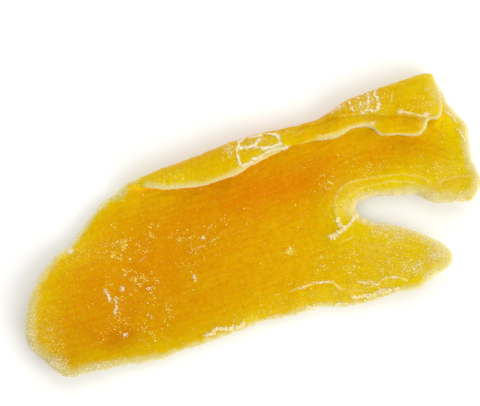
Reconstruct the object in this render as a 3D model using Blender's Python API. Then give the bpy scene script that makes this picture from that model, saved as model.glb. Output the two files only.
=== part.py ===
"""A slice of candied mango: one thick, soft sheet of fruit, forked at one end,
with its long upper edge folded back over its face.

The slice is drawn flat, as it was cut, then given its thickness and rounded rim,
folded along its upper edge and warped a little. +X runs along the slice towards
the fork, +Y towards the folded edge, and it lies on z = 0 with its face up.
"""
import math
from bisect import bisect_right

import bmesh
import bpy
from mathutils import Vector, kdtree, noise
from mathutils.geometry import delaunay_2d_cdt

MM = 0.001

# Thickness of the fruit, and how the rim rounds off
BODY_THICKNESS = 4.8 * MM
TIP_THICKNESS = 3.4 * MM
THINS_FROM = 22 * MM
THINS_TO = 58 * MM
FLAP_THICKNESS = 2.9 * MM
RIM_THICKNESS = 0.9 * MM
RIM_WIDTH = 2.4 * MM
UPPER_SHARE = 1.2

# The fold: its radius at the middle of the sheet, and how far it turns
FOLD_RADIUS = 3.1 * MM
FOLD_TURN = math.radians(176)
FOLD_STARTS_X = -41 * MM
FOLD_FULL_X = -9 * MM
# Where the sheet begins to turn up, as (x, y) along the slice
FOLD_LINE = [(-30, 18.2), (-10, 19.4), (4, 20.1), (26, 18.9), (38, 21.0), (58, 21.3)]

# The outline as cut, flat, in mm. Past the fold line y is measured along the sheet.
LEFT_END = [(-30.4, 20.9), (-34.4, 19.2), (-40.5, 15.1), (-45.2, 11.6), (-50.2, 9.9),
            (-56.3, 5.3), (-60.9, -0.8), (-63.2, -7.8), (-61.7, -12.7), (-57.4, -19.6)]
LOWER_EDGE = [(-54.6, -21.1), (-48.1, -21.4), (-41.0, -22.4), (-33.0, -23.6),
              (-22.9, -23.4), (-11.7, -23.0), (-3.4, -22.5), (4.4, -23.5),
              (12.0, -23.7), (20.8, -26.0), (31.5, -26.3)]
LOWER_PRONG = [(38.2, -26.8), (42.2, -24.9), (46.2, -24.2), (48.7, -21.7),
               (47.2, -18.0), (42.7, -13.4), (35.2, -8.5), (29.8, -5.4)]
FORK = [(28.1, -2.4), (29.7, -0.7), (33.5, -0.5), (40.3, -2.4), (45.0, -3.3)]
UPPER_PRONG = [(46.7, -6.2), (50.5, -7.6), (54.6, -8.6), (58.0, -9.2), (61.4, -5.2),
               (60.8, 1.6), (62.6, 8.6), (61.2, 12.8), (59.6, 16.8), (58.8, 21.4)]
FLAP_EDGE = [(58.2, 26.7), (58.1, 32.1), (57.9, 36.3), (55.6, 40.0), (53.2, 39.5),
             (52.0, 41.0), (48.8, 41.4), (44.1, 39.3), (39.9, 38.0), (38.7, 35.2),
             (32.8, 32.8), (25.1, 30.2), (16.6, 30.1), (9.3, 32.3), (2.0, 33.8),
             (-5.0, 33.4), (-11.0, 32.0), (-16.9, 29.8), (-21.7, 26.8), (-26.2, 23.5)]
OUTLINE = LEFT_END + LOWER_EDGE + LOWER_PRONG + FORK + UPPER_PRONG + FLAP_EDGE

# The crease that parts the flap into two lobes, flat, in mm. The lobe next to the
# fold stands proud of it by a step that dies out to the left.
CREASE = [(25.0, 24.6), (32.0, 28.6), (40.0, 32.6), (46.8, 35.6), (53.4, 38.6)]
CREASE_DEPTH = 0.6 * MM
CREASE_WIDTH = 1.3 * MM
LOBE_STEP = 0.7 * MM
LOBE_EDGE = 0.9 * MM
LOBE_FADE = 16 * MM

# Flakes, crust and creases of the face: (points in mm, height, width)
RIDGES = [
    ([(7.3, -16.4), (11.9, -17.1), (16.0, -17.9), (19.3, -21.4), (21.5, -24.1)],
     0.55 * MM, 0.9 * MM),
    ([(22.8, -20.3), (28.3, -22.0), (33.1, -22.3), (36.4, -24.4)], 0.45 * MM, 0.9 * MM),
    ([(-22.4, -22.0), (-16.6, -21.0), (-11.4, -20.6), (-7.3, -20.9)], 0.45 * MM, 0.9 * MM),
    ([(20.1, -7.6), (22.7, -6.9), (25.0, -5.4)], 0.9 * MM, 0.9 * MM),
    ([(23.1, -4.2), (23.1, -1.8), (25.8, 2.8), (31.4, 4.2), (40.3, 3.2), (47.4, 0.2)],
     0.4 * MM, 1.0 * MM),
    ([(49.3, -2.9), (54.0, -1.9), (59.3, -3.1)], -0.45 * MM, 1.1 * MM),
    ([(58.2, 15.6), (60.1, 10.8), (60.2, 5.4)], -0.4 * MM, 0.9 * MM),
]
RIDGE_POINT_SPACING = 1.6 * MM

# The fruit thins to the fork in a worn slope
FORK_SLOPE_WIDTH = 4.4 * MM
FORK_SLOPE_DEPTH = 0.9 * MM

# Broad and small unevenness of the fruit: (height, wavelength)
UNEVENNESS = [(0.35 * MM, 13 * MM), (0.16 * MM, 5 * MM)]
UNEVENNESS_APART = 40 * MM
RAGGED_EDGE = 0.35 * MM
RAGGED_LENGTH = 4 * MM

# Soft rises of the whole slice, as (x, y, radius, height) in mm
RISES = [(-68, -4, 27, 5.6), (56, -27, 25, 6.0), (-4, -1, 18, 2.2), (70, -4, 19, 3.4),
         (28, 4, 13, 1.0)]
FLAT_SPOT_DEPTH = 0.35 * MM

# Spacing of the points that the sheet is built on, and the step of its slopes
EDGE_SPACING = 1.9 * MM
BODY_SPACING = 2.5 * MM
FOLD_SPACING = 1.9 * MM
RIM_RINGS = [0.45 * MM, 1.3 * MM, 2.5 * MM]
RING_CLEARANCE = 0.85
GRID_CLEARANCE = 0.6
SAMPLES_PER_SPAN = 24
STEP = 0.05 * MM
MERGE_DISTANCE = 0.005 * MM

FRUIT_COLOUR = (0.72, 0.34, 0.012, 1.0)
FRUIT_ROUGHNESS = 0.45


def in_metres(points):
    return [Vector((x * MM, y * MM)) for x, y in points]


def ease(value):
    """0 to 1 with level ends."""
    value = min(max(value, 0.0), 1.0)
    return value * value * (3 - 2 * value)


def curve_point(p0, p1, p2, p3, t):
    """A point of the smooth curve from p1 to p2."""
    return 0.5 * ((2 * p1) + (p2 - p0) * t + (2 * p0 - 5 * p1 + 4 * p2 - p3) * t**2
                  + (3 * p1 - p0 - 3 * p2 + p3) * t**3)


def smooth_closed_curve(points):
    count = len(points)
    curve = []
    for i in range(count):
        around = [points[(i + k) % count] for k in (-1, 0, 1, 2)]
        curve += [curve_point(*around, s / SAMPLES_PER_SPAN)
                  for s in range(SAMPLES_PER_SPAN)]
    return curve


def evenly_spaced(closed_curve, spacing):
    """Points at equal steps along a closed curve."""
    lengths = [0.0]
    ring = closed_curve + closed_curve[:1]
    for a, b in zip(ring, ring[1:]):
        lengths.append(lengths[-1] + (b - a).length)
    count = round(lengths[-1] / spacing)
    spaced = []
    for i in range(count):
        distance = lengths[-1] * i / count
        k = bisect_right(lengths, distance) - 1
        share = (distance - lengths[k]) / (lengths[k + 1] - lengths[k])
        spaced.append(ring[k].lerp(ring[k + 1], share))
    return spaced


def inward_normals(outline):
    """The outline runs counter-clockwise, so inside is on its left."""
    normals = []
    for i, point in enumerate(outline):
        along = outline[(i + 1) % len(outline)] - outline[i - 1]
        normals.append(Vector((-along.y, along.x)).normalized())
    return normals


def ragged(outline):
    """The outline with the small ins and outs of a torn rim."""
    moved = []
    for point, normal in zip(outline, inward_normals(outline)):
        place = Vector((point.x, point.y, 0)) / RAGGED_LENGTH
        moved.append(point + normal * RAGGED_EDGE * noise.noise(place))
    return moved


def is_inside(point, outline):
    inside = False
    for a, b in zip(outline, outline[1:] + outline[:1]):
        if (a.y > point.y) != (b.y > point.y):
            crossing = a.x + (point.y - a.y) * (b.x - a.x) / (b.y - a.y)
            inside ^= point.x < crossing
    return inside


def tree_of(points):
    tree = kdtree.KDTree(len(points))
    for i, point in enumerate(points):
        tree.insert((point.x, point.y, 0), i)
    tree.balance()
    return tree


def tree_of_line(line):
    """A tree of close points along an open line of (x, y) in mm."""
    corners = in_metres(line)
    return tree_of([a.lerp(b, s / SAMPLES_PER_SPAN)
                    for a, b in zip(corners, corners[1:])
                    for s in range(SAMPLES_PER_SPAN + 1)])


def distance_to(tree, x, y):
    return tree.find((x, y, 0))[2]


def along_line(line, x):
    """The y of an open line of (x, y) points, eased from one to the next."""
    points = in_metres(line)
    if x <= points[0].x:
        return points[0].y
    for a, b in zip(points, points[1:]):
        if x <= b.x:
            return a.y + (b.y - a.y) * ease((x - a.x) / (b.x - a.x))
    return points[-1].y


def fold_line(x):
    return along_line(FOLD_LINE, x)


def fold_turn(x):
    """How far the edge turns over at x. It opens out to nothing at the left end."""
    share = (x - FOLD_STARTS_X) / (FOLD_FULL_X - FOLD_STARTS_X)
    left = 1 - min(max(share, 0.0), 1.0)
    return FOLD_TURN * (1 - left**2)


def folded(x, y):
    """Where a point of the flat sheet lies once the edge is folded over."""
    past = y - fold_line(x)
    if past <= 0:
        return Vector((x, y, 0))
    turn = min(past / FOLD_RADIUS, fold_turn(x))
    straight = past - turn * FOLD_RADIUS
    reach = FOLD_RADIUS * math.sin(turn) + straight * math.cos(turn)
    height = FOLD_RADIUS * (1 - math.cos(turn)) + straight * math.sin(turn)
    return Vector((x, fold_line(x) + reach, height))


def rise(x, y):
    """Height that the warp of the whole slice adds at a place in plan."""
    total = 0.0
    for centre_x, centre_y, radius, height in RISES:
        away = math.hypot(x / MM - centre_x, y / MM - centre_y) / radius
        total += height * MM * math.exp(-away * away)
    return total


def middle(x, y):
    """The middle of the sheet's thickness, folded and warped."""
    place = folded(x, y)
    place.z += rise(place.x, place.y)
    return place


def middle_normal(x, y):
    along = middle(x + STEP, y) - middle(x - STEP, y)
    across = middle(x, y + STEP) - middle(x, y - STEP)
    return along.cross(across).normalized()


def share_of_flap(x, y):
    """0 on the face, 1 once past the fold."""
    return ease((y - fold_line(x)) / (2 * FOLD_RADIUS))


def half_thickness(x, y, to_rim):
    ends = ease((abs(x) - THINS_FROM) / (THINS_TO - THINS_FROM))
    full = BODY_THICKNESS + (TIP_THICKNESS - BODY_THICKNESS) * ends
    full += (FLAP_THICKNESS - full) * share_of_flap(x, y)
    rounded = 1 - min(to_rim / RIM_WIDTH, 1.0)
    share = math.sqrt(1 - rounded**2)
    return (RIM_THICKNESS + (full - RIM_THICKNESS) * share) / 2


def unevenness(x, y, side):
    """Bumps of the surface. Each side has its own."""
    total = 0.0
    for height, wavelength in UNEVENNESS:
        total += height * noise.noise(Vector((x, y, side * UNEVENNESS_APART)) / wavelength)
    return total


def flap_relief(x, y, crease_tree):
    """The crease and the step beside it, on the side of the flap that shows."""
    away = distance_to(crease_tree, x, y) / CREASE_WIDTH
    above = ease((along_line(CREASE, x) - y) / LOBE_EDGE + 0.5)
    fade = ease((x - CREASE[0][0] * MM) / LOBE_FADE) * share_of_flap(x, y)
    return LOBE_STEP * fade * above - CREASE_DEPTH * math.exp(-away * away)


def face_relief(x, y, ridge_trees, fork_tree):
    """Flakes, crust and creases of the face, and the worn slope round the fork."""
    total = 0.0
    for tree, (_, height, width) in zip(ridge_trees, RIDGES):
        away = distance_to(tree, x, y) / width
        total += height * math.exp(-away * away)
    slope = 1 - ease(distance_to(fork_tree, x, y) / FORK_SLOPE_WIDTH)
    return total - FORK_SLOPE_DEPTH * slope


def rim_points(outline, rim_tree):
    """Rings of points inside the outline, on which the rim is rounded."""
    points = []
    normals = inward_normals(outline)
    for depth in RIM_RINGS:
        for point, normal in zip(outline, normals):
            inner = point + normal * depth
            if distance_to(rim_tree, inner.x, inner.y) > depth * RING_CLEARANCE:
                points.append(inner)
    return points


def ridge_points(rim_tree):
    """Points along the crest of each ridge and down both its sides."""
    points = []
    for line, _, width in RIDGES:
        corners = in_metres(line)
        for a, b in zip(corners, corners[1:]):
            steps = max(round((b - a).length / RIDGE_POINT_SPACING), 1)
            across = Vector((a.y - b.y, b.x - a.x)).normalized() * width
            for s in range(steps):
                crest = a.lerp(b, s / steps)
                points += [crest, crest + across, crest - across]
    return [p for p in points if distance_to(rim_tree, p.x, p.y) > RIM_RINGS[-1]]


def sheet_points(outline, rim_tree):
    """The outline, the points of its rim and ridges, and an even grid within."""
    ridges = ridge_points(rim_tree)
    ridge_tree = tree_of(ridges)
    points = outline + rim_points(outline, rim_tree) + ridges
    lowest = Vector((min(p.x for p in outline), min(p.y for p in outline)))
    highest = Vector((max(p.x for p in outline), max(p.y for p in outline)))
    y = lowest.y
    row = 0
    while y < highest.y:
        near_fold = y > min(q for _, q in FOLD_LINE) * MM - BODY_SPACING
        spacing = FOLD_SPACING if near_fold else BODY_SPACING
        x = lowest.x + (row % 2) * spacing / 2
        while x < highest.x:
            room = spacing * GRID_CLEARANCE
            clear_of_rim = distance_to(rim_tree, x, y) > RIM_RINGS[-1] + room
            clear_of_ridges = distance_to(ridge_tree, x, y) > room
            if clear_of_rim and clear_of_ridges and is_inside(Vector((x, y)), outline):
                points.append(Vector((x, y)))
            x += spacing
        y += spacing * math.sqrt(3) / 2
        row += 1
    return points


def flat_sheet(points, outline_count):
    """A bmesh of triangles that fills the outline through all the points."""
    ring = [(i, (i + 1) % outline_count) for i in range(outline_count)]
    filled = delaunay_2d_cdt(points, ring, [], 1, MERGE_DISTANCE)
    sheet = bmesh.new()
    corners = [sheet.verts.new((p.x, p.y, 0)) for p in filled[0]]
    for face in filled[2]:
        sheet.faces.new([corners[i] for i in face])
    return sheet


def thicken(sheet):
    """Two copies of the sheet joined by a rim: z is 1 on the face and -1 behind."""
    grown = bmesh.ops.extrude_face_region(sheet, geom=sheet.faces[:],
                                          use_keep_orig=True)
    upper = {item for item in grown["geom"] if isinstance(item, bmesh.types.BMVert)}
    for corner in sheet.verts:
        corner.co.z = 1 if corner in upper else -1
    bmesh.ops.recalc_face_normals(sheet, faces=sheet.faces[:])


def shape(solid, rim_tree):
    """Moves every point of the flat solid to its place on the real slice."""
    crease_tree = tree_of_line(CREASE)
    ridge_trees = [tree_of_line(line) for line, _, _ in RIDGES]
    fork_tree = tree_of_line(FORK)
    for corner in solid.verts:
        x, y, side = corner.co
        to_rim = distance_to(rim_tree, x, y)
        share = UPPER_SHARE if side > 0 else 2 - UPPER_SHARE
        outward = half_thickness(x, y, to_rim) * share
        inner = ease(to_rim / RIM_WIDTH)
        if side > 0:
            relief = face_relief(x, y, ridge_trees, fork_tree)
        else:
            relief = flap_relief(x, y, crease_tree)
        outward += (unevenness(x, y, side) + relief) * inner
        corner.co = middle(x, y) + middle_normal(x, y) * side * outward


def rest_on_floor(solid):
    """Sets the slice on z = 0, with small flats where it touches."""
    lowest = min(corner.co.z for corner in solid.verts)
    for corner in solid.verts:
        corner.co.z = max(corner.co.z - lowest - FLAT_SPOT_DEPTH, 0.0)


def centre_on_origin(solid):
    for axis in (0, 1):
        values = [corner.co[axis] for corner in solid.verts]
        middle_value = (min(values) + max(values)) / 2
        for corner in solid.verts:
            corner.co[axis] -= middle_value


def fruit_material():
    material = bpy.data.materials.new("candied_mango")
    material.use_nodes = True
    surface = material.node_tree.nodes["Principled BSDF"]
    surface.inputs["Base Color"].default_value = FRUIT_COLOUR
    surface.inputs["Roughness"].default_value = FRUIT_ROUGHNESS
    surface.inputs["Metallic"].default_value = 0.0
    return material


def build_slice():
    curve = smooth_closed_curve(in_metres(OUTLINE))
    outline = ragged(evenly_spaced(curve, EDGE_SPACING))
    fine = [a.lerp(b, s / SAMPLES_PER_SPAN)
            for a, b in zip(outline, outline[1:] + outline[:1])
            for s in range(SAMPLES_PER_SPAN)]
    rim_tree = tree_of(fine)
    solid = flat_sheet(sheet_points(outline, rim_tree), len(outline))
    thicken(solid)
    shape(solid, rim_tree)
    rest_on_floor(solid)
    centre_on_origin(solid)
    mesh = bpy.data.meshes.new("mango_slice")
    solid.to_mesh(mesh)
    solid.free()
    mesh.shade_smooth()
    mesh.materials.append(fruit_material())
    slice_object = bpy.data.objects.new("mango_slice", mesh)
    bpy.context.scene.collection.objects.link(slice_object)


def main():
    for old in list(bpy.data.objects):
        bpy.data.objects.remove(old)
    build_slice()


main()
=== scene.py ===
"""The looks of a slice of candied mango: its fruit, and the sugar that has dried on it.

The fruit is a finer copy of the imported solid. Its surface gets the bumps, fibres, worn
rim and thin skins of sugar that the solid is too coarse for, and it carries what its
finish reads: how deep the flesh is, how pale the rim is, where sugar lies and how the
fibres run. Crystals, frost, crust and threads are pieces of their own, set on it.

Places on the slice are (x, y) in mm of the frame: +X along the slice towards its fork,
+Y towards its folded edge.
"""

import math
from types import SimpleNamespace

import bmesh
import bpy
import numpy as np
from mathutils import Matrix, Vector, kdtree, noise
from mathutils.bvhtree import BVHTree


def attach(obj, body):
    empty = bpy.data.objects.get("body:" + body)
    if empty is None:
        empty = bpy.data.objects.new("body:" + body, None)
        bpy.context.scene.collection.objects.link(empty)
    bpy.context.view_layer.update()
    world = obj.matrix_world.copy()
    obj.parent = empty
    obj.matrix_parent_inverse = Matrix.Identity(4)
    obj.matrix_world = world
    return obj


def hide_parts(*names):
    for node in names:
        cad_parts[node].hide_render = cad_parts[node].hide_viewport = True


bl_info = {
    "name": "Candied mango slice",
    "version": (1, 0, 0),
    "blender": (4, 5, 0),
    "location": "3D View > Sidebar > Mango",
    "description": "Dresses a slice of candied mango with fruit, sugar and a plain stage",
    "category": "Object",
}

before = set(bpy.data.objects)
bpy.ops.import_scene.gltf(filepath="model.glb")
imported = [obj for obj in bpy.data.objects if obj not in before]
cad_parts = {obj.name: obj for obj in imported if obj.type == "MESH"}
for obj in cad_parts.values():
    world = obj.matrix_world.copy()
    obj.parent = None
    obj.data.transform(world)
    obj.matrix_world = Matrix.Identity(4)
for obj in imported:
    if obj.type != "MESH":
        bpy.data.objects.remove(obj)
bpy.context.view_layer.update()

MM = 0.001
NODE = "mango_slice"
FRUIT = "mango_fruit"
BLACK = (0.0, 0.0, 0.0)
UP = Vector((0, 0, 1))

# The fork. The fibres of the fruit run along the slice and bend round it.
FORK_ROOT = (28.4, -2.0)
FIBRES_COME_FROM = (-90.0, -2.0)
FORK_UPPER_EDGE = [FORK_ROOT, (30.0, -0.3), (33.8, -0.1), (40.6, -2.0), (45.3, -2.9),
                   (50.8, -7.2), (58.3, -8.8)]
FORK_LOWER_EDGE = [FORK_ROOT, (30.1, -5.0), (35.5, -8.1), (43.0, -13.0), (47.5, -17.6)]

# How deep the orange of the flesh is: the thick middle, and how it clears to lemon
# towards the fork and the rim
FLESH_DEPTH = 0.80
CLEARS_FROM_X = -24.0
CLEARS_TO_X = 44.0
CLEARS_BY = 0.60
RIM_CLEARS_WITHIN = 5.2
FLAP_DEPTH = 0.50
# Places where the flesh is deeper, or clearer: (x, y, half length, half width, by)
FLESH_SPOTS = {
    "along the folded edge": (14.0, 10.4, 16.0, 5.4, 0.36),
    "middle, towards the fork": (19.0, 6.5, 11.0, 8.5, 0.28),
    "middle": (-2.0, 8.0, 9.0, 7.0, 0.08),
    "below the middle": (-13.0, -7.5, 10.0, 4.5, -0.09),
    "below the strip": (29.5, 15.0, 6.0, 3.0, 0.20),
    "right part": (53.0, 6.5, 7.0, 5.0, 0.18),
    "left start of the fold": (-16.0, 17.0, 7.0, 3.4, -0.20),
    "strip of the flap": (29.0, 21.5, 5.0, 2.0, 0.14),
    "behind the upper prong": (41.0, 9.6, 12.0, 5.4, 0.50),
    "lower left": (-40.0, -15.0, 5.0, 3.0, 0.36),
    "left end": (-58.0, -5.0, 6.0, 8.0, -0.14),
    "ring of the fork": (34.0, 1.6, 11.0, 2.8, -0.24),
    "root of the fork": (25.6, -2.6, 3.4, 4.0, -0.22),
    "top of the lobe": (48.0, 22.5, 9.0, 3.6, -0.16),
}
DEEPER_BELOW_STEP = 0.30
# Painted shade: where the flesh is darkened towards black, over the left end where less
# light falls, and in darker patches at the end of the lobe and at the right edge: (x, y,
# half length, half width, strength)
PAINTED_SHADE_PATCHES = {
    "left end": (-54.0, -14.0, 28.0, 14.0, 1.0),
    "lower left rim": (-59.0, -15.0, 6.0, 5.0, 1.9),
    "lower left flesh": (-40.0, -15.0, 7.0, 4.0, 1.6),
    "end of the lobe": (58.6, 18.6, 2.6, 4.6, 1.1),
    "right edge": (61.6, 1.0, 2.6, 6.0, 1.2),
}
# The outside of the bend faces back between these shares, and takes no sugar past those
BEND_FACES_BACK = (0.15, 0.60)
BEND_TOO_STEEP = (0.82, 1.00)

# Painted light: how far the brightening of the flesh below the flap reaches, and how much
# it adds; it stands in for light that shines through the flap
LIGHT_REACHES = 1.9
LIGHT_ADDS = 0.46
# Share of that painted light that the inside of the fold gets
LIGHT_IN_FOLD = 0.5
# Painted shade: the inside of the fold is coloured a deeper orange, so that its shade looks
# amber
PAINTED_SHADE_IN_FOLD = 0.12

# The rim is pale and thin, wider in some places: (x, y, radius, by how much)
EDGE_WIDTH = 0.8
RIM_WIDTH = 1.75
RIM_VARIES_BY = 0.35
RIM_VARIES_WAVELENGTH = 3.0
RIM_FALLS_OFF = 3
RIM_WIDER = {
    "lower left end": (-57.0, -15.0, 11.0, 0.9),
    "left end": (-60.0, -4.0, 9.0, 0.6),
    "upper left edge": (-38.0, 17.0, 8.0, -0.7),
    "lower edge": (-38.0, -21.5, 16.0, 0.5),
    "root of the fork": (28.0, -2.0, 4.0, 0.4),
    "upper side of the fork": (36.0, -0.5, 6.0, -0.2),
    "tip of the upper prong": (47.6, -5.0, 4.6, 1.6),
    "end of the upper prong": (57.0, -7.0, 6.0, 0.6),
    "tip of the lower prong": (46.0, -20.5, 7.0, 0.8),
    "strip of the lobe": (44.0, 13.6, 6.0, -0.9),
    "top of the lobe": (50.0, 26.0, 12.0, -0.5),
}

# Where the flesh has turned pale: (x, y, half length, half width, strength)
PALE_PATCHES = {
    "tip of the upper prong": (48.0, -5.2, 2.6, 2.0, 1.0),
    "below that tip": (52.6, -6.6, 3.2, 1.4, 0.55),
    "root of the fork": (27.2, -1.0, 3.0, 3.2, 0.56),
    "upper side of the fork": (37.0, -0.4, 8.0, 1.7, 0.44),
    "corner of the lobe": (58.2, 20.8, 2.8, 4.0, 0.66),
    "end of the strip": (52.4, 13.8, 1.4, 1.1, 0.60),
    "right edge": (61.6, 4.0, 1.6, 4.6, 0.46),
    "tip of the lower prong": (46.6, -19.8, 3.0, 3.2, 0.50),
    "side of the lower prong": (38.6, -12.6, 6.4, 1.4, 0.40),
}

# Notches in the rim of the flap: (x, y, radius, how far in along x, and along y)
FLAP_NOTCHES = {
    "between strip and lobe": (54.2, 13.3, 1.5, -0.62, 1.30),
}

# Sugar that has dried white along lines, which wander a little and are thin in gaps
WANDER = 0.60
WANDER_WAVELENGTH = 1.6
GAPS_WAVELENGTH = 1.3
GAPS_CLOSE = (-0.5, 0.1)
LEFT_IN_GAPS = 0.2
NET_LINES = [
    [(5.4, 25.7), (5.1, 23.9), (4.3, 22.3), (3.8, 20.3), (3.5, 17.9)],
    [(5.4, 25.7), (8.1, 26.0), (10.5, 26.0), (12.8, 26.3)],
    [(5.3, 24.4), (7.0, 24.4), (9.4, 24.2), (11.6, 24.3), (13.6, 23.6), (15.4, 22.4),
     (15.4, 20.6)],
    [(4.9, 22.5), (7.0, 21.9), (9.1, 21.7), (11.0, 20.5), (12.4, 20.0), (15.3, 20.3)],
    [(3.5, 17.9), (6.1, 18.1), (7.6, 18.7), (9.4, 19.0), (12.2, 19.2), (16.8, 19.0)],
    [(11.6, 24.3), (10.2, 22.9), (9.1, 21.7)],
]
LOBE_LINES = [
    [(35.5, 25.3), (35.5, 23.6), (35.7, 22.5)],
    [(38.3, 25.6), (38.2, 23.4), (37.5, 21.9)],
    [(40.8, 26.3), (40.5, 24.4), (39.4, 22.0)],
    [(42.6, 26.1), (42.7, 23.7), (42.5, 22.0), (41.5, 20.5)],
    [(38.1, 21.6), (39.6, 21.6), (41.6, 20.5)],
]
FORK_CRUST_LINES = [
    [(20.4, -7.0), (22.4, -6.2), (24.5, -5.8), (26.0, -4.6), (28.3, -3.6)],
    [(23.6, -2.8), (23.3, -4.3), (24.1, -5.0)],
]
EDGE_CRUST_LINES = [
    [(21.1, -22.8), (22.0, -23.8), (24.4, -24.2), (26.9, -24.2), (29.9, -24.4),
     (32.4, -24.8)],
    [(-18.7, -20.9), (-14.7, -20.4), (-11.5, -20.9), (-8.8, -21.6), (-7.2, -20.4)],
    [(8.7, -22.3), (11.1, -22.4)],
    [(16.5, -23.9), (18.7, -24.4)],
]
STREAK_LINES = [
    [(-39.4, -1.8), (-39.3, -3.5), (-39.2, -4.8)],
    [(-37.9, -5.0), (-38.3, -7.3), (-39.1, -9.1)],
    [(-35.0, -2.5), (-35.6, -3.7)],
    [(-28.6, -4.3), (-28.4, -4.9)],
    [(-30.5, -11.2), (-30.3, -12.3)],
    [(-17.0, -4.3), (-16.6, -6.3)],
]
# Thin pale lines: torn skin, edges of flakes, folds and scratches
SKIN_WANDER = 0.22
LOBE_STEP = [(14.3, 25.6), (19.4, 24.7), (26.4, 23.5), (33.0, 22.2), (39.2, 20.8),
             (44.0, 18.8), (48.5, 17.3), (52.3, 15.4)]
TORN_LINES = [
    [(8.1, -16.5), (12.1, -16.8), (14.8, -16.9), (17.1, -18.1), (18.6, -20.0),
     (20.3, -21.9)],
    [(23.0, -20.0), (25.9, -20.6), (28.2, -21.9), (30.5, -21.1), (33.1, -21.6),
     (35.6, -23.4)],
    [(58.6, 15.0), (60.3, 12.7), (60.4, 9.3), (60.9, 6.1)],
    [(47.5, 18.6), (50.1, 17.2), (51.0, 16.7), (53.0, 15.4)],
]
FAINT_LINES = [
    LOBE_STEP,
    [(46.8, 23.7), (45.6, 21.7)],
    [(22.4, -8.4), (25.0, -8.7), (27.3, -7.8)],
    [(-11.2, 3.4), (-8.6, 5.6), (-7.8, 6.0)],
    [(-15.2, 1.3), (-11.7, 1.5), (-8.4, 2.1), (-5.2, 3.5)],
    [(31.8, -18.1), (34.2, -18.2), (37.1, -18.8)],
    [(-29.5, 2.5), (-26.8, 3.3)],
    [(1.9, -16.6), (5.2, -17.0), (8.1, -16.5)],
    [(24.4, -14.6), (27.6, -15.4), (30.2, -14.8)],
    [(36.2, -15.4), (35.9, -17.0), (34.3, -17.8), (31.7, -17.3), (29.7, -19.3)],
    [(31.5, -17.3), (30.0, -20.2)],
    [(37.1, -18.5), (35.6, -19.6), (34.6, -22.0)],
    [(15.0, -11.2), (16.2, -10.7), (17.4, -11.5), (17.3, -12.8), (16.2, -13.3),
     (15.2, -12.7)],
    [(17.3, 24.9), (17.6, 23.2), (19.0, 21.7), (21.0, 21.2), (22.0, 21.7)],
]
RING_LINES = [
    [(23.9, -4.0), (23.4, -1.6), (24.2, 1.6), (25.7, 4.0), (28.1, 5.0), (32.2, 5.2),
     (37.4, 4.3), (42.5, 3.2), (46.1, 1.7), (48.8, -0.5)],
    [(25.9, -1.2), (26.5, 0.7), (28.4, 2.2), (31.3, 2.9), (34.6, 2.8), (39.1, 2.4),
     (43.4, 1.0), (46.7, -1.2)],
    [(49.6, -2.5), (52.6, -1.7), (55.9, -1.8), (60.0, -2.9)],
    [(20.0, 18.7), (24.9, 18.6), (31.0, 18.7), (35.3, 19.0), (39.6, 18.0)],
]
# Sugar that has dried in patches: (x, y, half length, half width, strength)
FROST_PATCHES = {
    "tip of the lower prong": (44.4, -19.4, 4.0, 2.8, 0.50),
    "tip of the upper prong": (48.2, -5.2, 2.4, 1.6, 0.52),
    "lower prong, above": (37.0, -11.6, 3.4, 1.5, 0.46),
    "lower prong, middle": (32.6, -9.2, 3.4, 1.2, 0.42),
    "lower prong, end": (38.5, -21.0, 5.0, 3.0, 0.40),
    "net of the flap": (9.5, 22.6, 6.0, 3.6, 0.24),
    "freckles beside it": (2.2, 22.8, 1.3, 3.2, 0.45),
    "ridge of the fold": (30.8, 24.8, 4.6, 1.3, 0.66),
    "lobe of the flap": (39.0, 23.6, 4.8, 3.0, 0.26),
    "knob of the flap": (0.6, 27.2, 1.8, 1.8, 0.66),
    "point of the strip": (39.4, 18.0, 0.9, 0.45, 0.95),
    "white bump": (53.3, 15.6, 0.9, 0.9, 1.0),
    "bump beside it": (47.2, 18.6, 1.0, 0.7, 0.8),
    "dent of the left edge": (-44.9, 10.8, 1.0, 1.0, 0.85),
    "lower left rim": (-58.0, -16.2, 4.2, 3.2, 0.55),
    "left rim": (-61.4, -7.0, 1.4, 6.0, 0.50),
    "lower rim": (-49.0, -20.3, 8.0, 1.5, 0.50),
    "white dot": (-11.2, 3.4, 0.5, 0.5, 1.0),
    "lower left dots": (-38.2, -14.3, 0.7, 0.5, 0.9),
    "right end": (56.7, -6.4, 1.6, 1.0, 0.4),
}
# Where a thin bloom of fine sugar dulls the flesh: (x, y, half length, half width, by)
BLOOM_PATCHES = {
    "lower prong": (34.0, -15.0, 14.0, 8.0, 0.42),
    "below the torn skin": (24.0, -21.5, 14.0, 3.0, 0.50),
    "lower edge": (0.0, -20.5, 18.0, 2.4, 0.35),
    "left middle": (-35.0, -6.0, 8.0, 9.0, 0.10),
    "left rim": (-58.0, -10.0, 5.0, 12.0, 0.50),
    "upper left edge": (-44.0, 9.0, 12.0, 4.0, 0.30),
    "fork": (29.0, 1.0, 7.0, 5.0, 0.50),
    "upper prong": (54.0, -2.0, 8.0, 6.0, 0.45),
    "net of the flap": (10.0, 22.6, 8.0, 4.4, 0.15),
    "left end of the flap": (-16.0, 21.0, 10.0, 3.0, 0.30),
    "knob of the flap": (1.0, 26.6, 4.0, 3.0, 0.80),
    "lobe of the flap": (40.0, 23.0, 6.0, 4.0, 0.55),
    "end of the lobe": (54.0, 17.0, 4.0, 4.0, 0.50),
}
BLOOM_EVERYWHERE = 0.08
# Where a fine web of sugar lies: (x, y, half length, half width, strength)
WEB_WAVELENGTH = 1.5
WEB_STRAND = 0.11
WEB_FROSTS = 0.9
WEB_PATCHES = {
    "net of the flap": (9.6, 22.4, 6.0, 3.6, 0.80),
    "top of the net": (9.5, 25.2, 5.5, 1.6, 0.95),
    "left of the net": (1.0, 23.4, 3.0, 4.0, 0.55),
    "knob of the flap": (0.8, 27.0, 3.0, 2.0, 0.9),
    "ridge of the fold": (30.0, 25.0, 5.0, 1.4, 0.8),
    "lobe of the flap": (39.0, 23.4, 5.0, 3.0, 0.7),
}
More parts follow.
